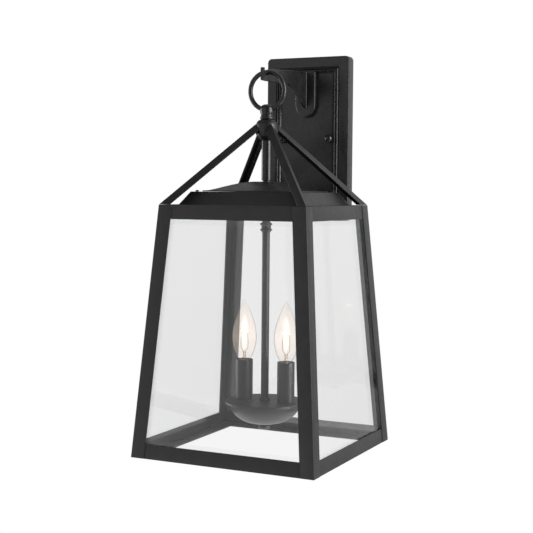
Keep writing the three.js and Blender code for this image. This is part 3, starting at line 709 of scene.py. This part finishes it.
def cap_levels():
    """The roof cap, out along its top from the rim to the rod's hole and back below it. An
    outline's point is (half width, height above the skirt)."""
    rim = 61
    rise = smooth_curve([
        (59.5, 0.5), (49.5, 3.3), (40, 6.6), (30.5, 9.6), (20, 12.1), (12, 13.0)], 4)
    outer = fillet([(rim, 0, 0.3), (rim, 1.3, 0.4), (60.2, 1.3, 0.3)], 0.3) + [(59.6, 1.2)]
    outer += [(half, z) for half, z in rise if z > 1.25]
    top = outer[-1][1]
    inner = [(19, 10.9), (29.5, 8.3), (39, 5.3), (48.5, 2.1), (57.6, 0.6), (58.5, 0)]
    levels = [(half, half, max(1.6 - (rim - half) * 0.02, 0.8), CAP_Z + z) for half, z in outer]
    for half, z in ((6.5, top + 0.15), (ROD_HOLE, top + 0.15), (ROD_HOLE, top - 1.2)):
        levels.append((half, half, half - 0.05, CAP_Z + z))
    return levels + [(half, half, 1.0, CAP_Z + z) for half, z in inner]


def build_roof():
    refine("roof_skirt", "lantern", black, 0.4)
    cap = rect_stack("roof_cap_fine", cap_levels(), upright=True)
    place(cap, "lantern", "roof_cap", black)
    shank = [(0, -4), (1.1, -4), (1.1, 0), (2.4, 0)]
    head = smooth_curve([(2.55, 0.25), (2.4, 0.95), (1.6, 1.5), (0, 1.8)], 4)
    outline = [(r, CAP_Z + z) for r, z in shank + head]
    for corner, (sx, sy) in CORNERS.items():
        screw = lathe(f"roof_screw_{corner}_fine", outline, sx * ROOF_SCREW_OFFSET,
                      AXIS_Y + sy * ROOF_SCREW_OFFSET, 32)
        place(screw, "lantern", f"roof_screw_{corner}", black)


# --------------------------------------------------------------- lamp cluster

def build_rod():
    foot, head = PAN_Z - 36, HUB_Z + 3
    rod = lathe("center_rod_fine", fillet([
        (0, foot), (ROD_RADIUS, foot, 0.4), (ROD_RADIUS, head, 0.4), (0, head)], 0.4),
        segments=48)
    place(rod, "lantern", "center_rod", black)
    z = HUB_Z - 131
    coupling = lathe("rod_coupling_fine", fillet([
        (ROD_HOLE, z), (6.2, z, 0.3), (6.2, z + 1.5, 0.3), (7.9, z + 2.1, 0.4),
        (7.9, z + 3.5, 0.4), (6.4, z + 4.2, 0.4), (6.1, z + 6.4, 1), (6.4, z + 8.8, 0.4),
        (7.9, z + 9.4, 0.4), (7.9, z + 10.9, 0.4), (6.2, z + 11.6, 0.3), (6.2, z + 12.6, 0.3),
        (ROD_HOLE, z + 12.6), (ROD_HOLE, z)], 0.3, 5), segments=56)
    place(coupling, "lantern", "rod_coupling", black)
    refine("roof_lock_nut", "lantern", zinc, 0.5)
    nut = lathe("rod_foot_nut_fine", fillet([
        (ROD_HOLE, FOOT_Z), (7, FOOT_Z, 0.2), (7.2, FOOT_Z + 0.8, 0.4), (7.2, FOOT_Z + 3, 0.6),
        (6.5, FOOT_Z + 3.9, 0.5), (ROD_HOLE, FOOT_Z + 3.9), (ROD_HOLE, FOOT_Z)], 0.2, 5),
        segments=64)
    place(nut, "lantern", "rod_foot_nut", black)


def build_pan():
    """The pan's disc with its lip, the bowl under it and the nut that holds them."""
    r, p, wall = PAN_RADIUS, PAN_Z, PAN_RADIUS - 1.6
    top = lathe("pan_top_fine", fillet([
        (ROD_HOLE, p - 1.4), (wall, p - 1.4, 0.3), (wall, p - 3.6, 0.3), (r, p - 3.6, 0.5),
        (r, p, 0.7), (r - 2, p, 0.3), (ROD_HOLE, p), (ROD_HOLE, p - 1.4)], 0.2, 5),
        segments=120)
    place(top, "lantern", "pan_top", black)
    outer = smooth_curve([
        (46, p - 1.8), (45.6, p - 6.4), (42.8, p - 13), (36.2, p - 20.2), (26.5, p - 26),
        (13, p - 29.5), (ROD_HOLE, p - 30.2)], 6)
    inner = [(max(a - 1.2, ROD_HOLE), min(b + 1.0, p - 1.8)) for a, b in outer]
    bowl = lathe("pan_bowl_fine", outer + inner[::-1] + [outer[0]], segments=120)
    place(bowl, "lantern", "pan_bowl", black)
    z = p - 30.6
    finial = smooth_curve([
        (0, z - 7), (4.2, z - 6.7), (7.1, z - 5.4), (8.2, z - 3.5), (7.9, z - 1.5),
        (6.9, z - 0.3)], 5)
    nut = lathe("finial_nut_fine", finial + [(6.4, z), (0, z)], segments=56)
    place(nut, "lantern", "finial_nut", black)


# ----------------------------------------------------------------------- lamps

def build_socket(number, x):
    """A candle sleeve over its lampholder."""
    sleeve = lathe(f"candle_sleeve_{number}_fine", fillet([
        (10.2, FOOT_Z), (11.2, FOOT_Z, 0.3), (11.2, SLEEVE_TOP_Z, 0.5),
        (10.2, SLEEVE_TOP_Z, 0.3), (10.2, FOOT_Z)], 0.3), x)
    place(sleeve, "lantern", f"candle_sleeve_{number}", black)
    foot, bore_foot = PAN_Z - 7, CUP_Z - 26
    holder = lathe(f"lampholder_{number}_fine", fillet([
        (2.4, foot), (4, foot, 0.3), (4, FOOT_Z, 0.2), (8.6, FOOT_Z, 0.3), (8.6, CUP_Z, 0.5),
        (6.4, CUP_Z, 0.4), (6.4, bore_foot, 0.3), (2.4, bore_foot, 0.3), (2.4, foot)], 0.3, 3),
        x, segments=56)
    place(holder, "lantern", f"lampholder_{number}", phenolic)


def build_bulb(number, x):
    """A bulb's threaded base and its flame-shaped envelope."""
    body = f"bulb_{number}"
    thread = [(0, SEAT_Z - 1.2), (2.3, SEAT_Z - 1.1), (3.2, SEAT_Z + 0.6), (5.1, SEAT_Z + 2.2)]
    for turn in range(5):
        z = SEAT_Z + 3.2 + turn * 2.5
        thread += [(5.45, z), (5.9, z + 0.6), (5.95, z + 1.1), (5.5, z + 1.9)]
    z = SEAT_Z + 18.8
    thread += [(5.9, SEAT_Z + 17), (6, SEAT_Z + 18.6), (5.8, z), (0, z)]
    base = lathe(f"bulb_base_{number}_fine", smooth_curve(thread, 3), x, segments=56)
    place(base, body, f"bulb_base_{number}", brass)

    outline = [(0, 0), (5.8, 0), (6, 0.3), (6, 2.6)] + smooth_curve([
        (6, 3), (7.4, 4.6), (8.7, 6.6), (10.6, 10), (12.6, 14.6), (14.3, 20.4), (15.4, 26.5),
        (15.75, 32), (15.5, 38.5), (14.5, 45.5), (12.7, 52.8), (10.3, 60), (7.6, 67.4),
        (4.8, 74), (2.5, 78.8), (1.1, 81.2), (0, 82.1)], 4)
    glass = lathe(f"bulb_glass_{number}_fine", [(r, NECK_Z + z) for r, z in outline], x)
    place(glass, body, f"bulb_glass_{number}", bulb_glass)


def build_stem(number, x):
    """What stands inside the envelope: glass stem, two supports, filament and its glow."""
    outline = smooth_curve([
        (0, 0.5), (4.2, 0.6), (3.6, 2.4), (2.5, 5), (1.9, 8.6), (1.8, 12), (2.2, 13.4),
        (1.3, 14.2), (0, 14.5)], 4)
    stem = lathe(f"stem_{number}", [(r, NECK_Z + z) for r, z in outline], x, segments=32)
    parts = [paint(stem, stem_glass)]
    for side in (-1, 1):
        path = [(1.3, 5), (1.5, 12.5), (2.9, 16), (4.9, 19), (5.1, 28), (4.4, 40)]
        lead = support_wire(f"lead_{number}_{side}",
                            [(x + side * across, NECK_Z + up) for across, up in path])
        parts.append(paint(lead, wire))
    parts.append(paint(coiled_filament(f"filament_{number}", x), filament_light))
    parts.append(paint(glow_spindle(f"halo_{number}", x), haze))
    inner = combine(f"bulb_stem_{number}_fine", parts)
    shade(inner, 40)
    place(inner, f"bulb_{number}", f"bulb_stem_{number}")


def support_wire(name, points):
    """A thin wire through (x, z) points in the lamps' own upright plane."""
    radius, sides = 0.3, 8
    path = smooth_curve(points, 5)
    rings = []
    for i, (px, pz) in enumerate(path):
        before, after = path[max(i - 1, 0)], path[min(i + 1, len(path) - 1)]
        along = (Vector(after) - Vector(before)).normalized()
        across = Vector((-along.y, along.x))
        ring = []
        for k in range(sides):
            t = 2 * math.pi * k / sides
            offset = across * radius * math.cos(t)
            ring.append((px + offset.x, AXIS_Y + radius * math.sin(t), pz + offset.y))
        rings.append(ring)
    return skin(name, rings)


def coiled_filament(name, x):
    """A fine coil along X, hung between the supports' tips and arched upward."""
    reach, radius, wire_radius, lift, turns, sides = 4.4, 0.7, 0.26, 4.2, 16, 5
    steps = turns * 10
    rings = []
    for i in range(steps + 1):
        t = i / steps
        a = 2 * math.pi * turns * t
        out = Vector((0, math.cos(a), math.sin(a)))
        arch = lift * math.sin(math.pi * t)
        centre = Vector((x + reach * (2 * t - 1), AXIS_Y, FILAMENT_Z + arch)) + out * radius
        ring = []
        for k in range(sides):
            b = 2 * math.pi * k / sides
            level = Vector((wire_radius * math.sin(b), 0, 0))
            ring.append(tuple(centre + out * wire_radius * math.cos(b) + level))
        rings.append(ring)
    return skin(name, rings)


def glow_spindle(name, x):
    """A soft upright spindle of glow round the filament."""
    width, height, steps = 4.6, 44, 12
    outline = []
    for step in range(steps + 1):
        a = -math.pi / 2 + math.pi * step / steps
        r = width * math.cos(a) ** 1.2 if 0 < step < steps else 0
        outline.append((r, FILAMENT_Z + height / 2 * math.sin(a)))
    return lathe(name, outline, x, segments=32)


build_plate()
build_arm()
build_hanging_gear()
build_body()
build_roof()
build_rod()
build_pan()
for lamp_number, lamp_x in ((1, -LAMP_X), (2, LAMP_X)):
    build_socket(lamp_number, lamp_x)
    build_bulb(lamp_number, lamp_x)
    build_stem(lamp_number, lamp_x)


# --------------------------------------------------------------- stage and light

FLOOR_Z = -1150

# What the studio gives from each side, against white as 1; LEFT_SHARE scales the far left
FRONT_LIGHT, BACK_LIGHT, FRONT_LEFT_LIGHT, LEFT_SHARE = 0.11, 0.68, 0.7, 0.1

# Softboxes: name, place, size in metres and watts. They are aimed at the lantern's middle.
SOFTBOXES = (("right", (2300, -200, 320), (1.4, 2.4), 86),
             ("left", (-2300, -60, -120), (0.8, 1.5), 26))
SOFTBOX_AIM = (0, -145, -120)

# The photograph's camera, whose height is measured from the hub
FRAME_PX = 533.0
FOCAL_PX, CENTRE_PX = 1165.714, (266.005, 240.0)
CAMERA_TURN, CAMERA_PITCH, CAMERA_ROLL = 25.857, 2.492, 0.477
CAMERA_DISTANCE, CAMERA_HEIGHT = 1503.588, -75.947


def build_floor():
    """A plain pale floor well below the lantern."""
    corners = [(-1500, -1700), (1500, -1700), (1500, 1300), (-1500, 1300)]
    floor = mesh_object("floor", [(x, y, FLOOR_Z) for x, y in corners], [(0, 1, 2, 3)])
    n = Nodes(bpy.data.materials.new("floor_paint"))
    shader = n.add("BsdfPrincipled", {
        "Base Color": n.mix_colour(n.noise(4, 3), (0.9, 0.9, 0.9), (0.94, 0.94, 0.94)),
        "Roughness": 0.8,
        "Emission Color": (1, 1, 1, 1), "Emission Strength": 0.5,
    })
    paint(floor, n.finish(shader.outputs[0]))


def build_world():
    """A white studio: white where the camera looks. The light it gives is dim from the
    front, bright from behind on either side, and dim again straight behind."""
    world = bpy.data.worlds.new("studio")
    bpy.context.scene.world = world
    n = Nodes(world, "World")
    direction = n.add("TexCoord").outputs["Generated"]
    split = n.add("SeparateXYZ", {0: direction}).outputs

    def ramp(*values):
        return n.between(*values, interpolation_type="SMOOTHSTEP")

    def toward(*way):
        return n.add("VectorMath", {0: direction, 1: way}, operation="DOT_PRODUCT").outputs[1]

    def times(first, second):
        return n.calculate("MULTIPLY", first, second)

    depth = ramp(split["Y"], -0.6, 0.7, FRONT_LIGHT, BACK_LIGHT)
    height = ramp(split["Z"], -0.35, 0.1, 0.62, 1.2)
    left = ramp(split["X"], -0.95, -0.35, LEFT_SHARE, 1.0)
    dip = ramp(toward(-0.436, 0.9, 0.0), 0.72, 0.96, 1.0, 0.3)
    front_left = ramp(toward(-0.55, -0.83, 0.05), 0.55, 0.97, 0.0, FRONT_LEFT_LIGHT)
    surround = times(times(depth, height), times(dip, left))
    total = n.calculate("ADD", surround, front_left)
    soft = n.add("Background", {"Color": (1, 1, 1, 1), "Strength": total})
    white = n.add("Background", {"Color": (1, 1, 1, 1), "Strength": 1.0})
    seen = n.add("LightPath").outputs["Is Camera Ray"]
    mixed = n.add("MixShader", {0: seen, 1: soft.outputs[0], 2: white.outputs[0]})
    n.finish(mixed.outputs[0])


def softbox(name, place_mm, size, power):
    data = bpy.data.lights.new(name, "AREA")
    data.shape = "RECTANGLE"
    data.size, data.size_y = size
    data.energy = power
    light = new_object(name, data)
    light.location = Vector(place_mm) * MM
    aim = Vector(SOFTBOX_AIM) - Vector(place_mm)
    light.rotation_euler = aim.to_track_quat("-Z", "Y").to_euler()
    return light


def spare_the_glass(lights):
    """The panes and bulbs don't mirror the softboxes, which would white them out side-on."""
    spared = bpy.data.collections.new("no_softbox")
    for obj in bpy.data.objects:
        if obj.type == "MESH" and "glass_" in obj.name:
            spared.objects.link(obj)
    for entry in spared.collection_objects:
        entry.light_linking.link_state = "EXCLUDE"
    for light in lights:
        light.light_linking.receiver_collection = spared


def build_camera():
    """The photograph's camera: right of the lantern's front, looking slightly down."""
    azimuth, pitch, roll = map(math.radians, (CAMERA_TURN, CAMERA_PITCH, CAMERA_ROLL))
    forward = Vector((-math.sin(azimuth) * math.cos(pitch),
                      math.cos(azimuth) * math.cos(pitch), -math.sin(pitch)))
    right = Vector((math.cos(azimuth), math.sin(azimuth), 0))
    up = right.cross(forward)
    tilted_right = right * math.cos(roll) + up * math.sin(roll)
    tilted_up = up * math.cos(roll) - right * math.sin(roll)
    data = bpy.data.cameras.new("camera")
    data.sensor_width = 36.0
    data.lens = FOCAL_PX / FRAME_PX * data.sensor_width
    data.shift_x = (FRAME_PX / 2 - CENTRE_PX[0]) / FRAME_PX
    data.shift_y = -(FRAME_PX / 2 - CENTRE_PX[1]) / FRAME_PX
    data.clip_start = 0.05
    data.clip_end = 50.0
    camera = new_object("camera", data)
    basis = Matrix((tilted_right, tilted_up, -forward)).transposed().to_4x4()
    basis.translation = Vector((
        CAMERA_DISTANCE * math.sin(azimuth), AXIS_Y - CAMERA_DISTANCE * math.cos(azimuth),
        CAMERA_HEIGHT + HUB_Z)) * MM
    camera.matrix_world = basis
    bpy.context.scene.camera = camera


build_floor()
build_world()
build_camera()
spare_the_glass([softbox(*settings) for settings in SOFTBOXES])
bpy.context.scene.view_settings.view_transform = "Standard"
